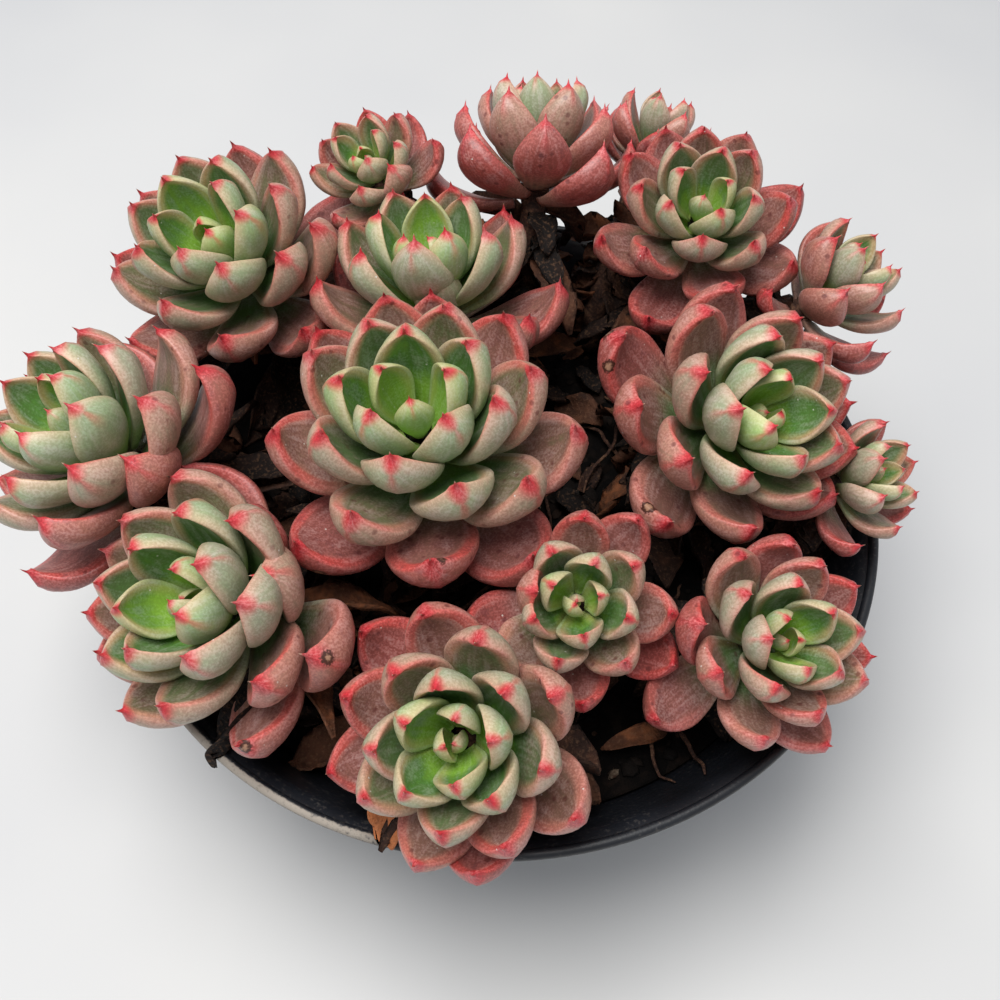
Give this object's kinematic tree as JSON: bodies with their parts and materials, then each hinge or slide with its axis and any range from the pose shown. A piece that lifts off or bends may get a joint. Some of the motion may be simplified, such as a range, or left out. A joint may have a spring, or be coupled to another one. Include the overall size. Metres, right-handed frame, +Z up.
{
  "type": "potted nana hook echeveria",
  "caption": "Clump of hook-tipped succulent rosettes on short stems, crowding a flared nursery bowl of soil.",
  "frame": {"origin": "centre of the bowl's underside, on the surface that the bowl stands on", "axes": "+Z up along the bowl's axis, -Y to the front, the side nearest the viewer in the picture, and +X to that viewer's right"},
  "size_m": [0.1588, 0.1525, 0.1047],
  "materials": {
    "bowl_plastic": "satin",
    "potting_soil": "matte",
    "leaves": "satin"
  },
  "bodies": {
    "root": {"bowl": "bowl_plastic", "soil": "potting_soil", "rosette_centre": "leaves", "rosette_right": "leaves", "rosette_middle": "leaves", "rosette_front": "leaves", "rosette_front_left": "leaves", "rosette_front_right": "leaves", "rosette_back_centre": "leaves", "rosette_left": "leaves", "rosette_back_left": "leaves", "rosette_back_right": "leaves", "rosette_back": "leaves", "rosette_small_back_left": "leaves", "rosette_far_right": "leaves", "rosette_right_edge": "leaves", "rosette_small_back_right": "leaves"}
  },
  "joints": []
}
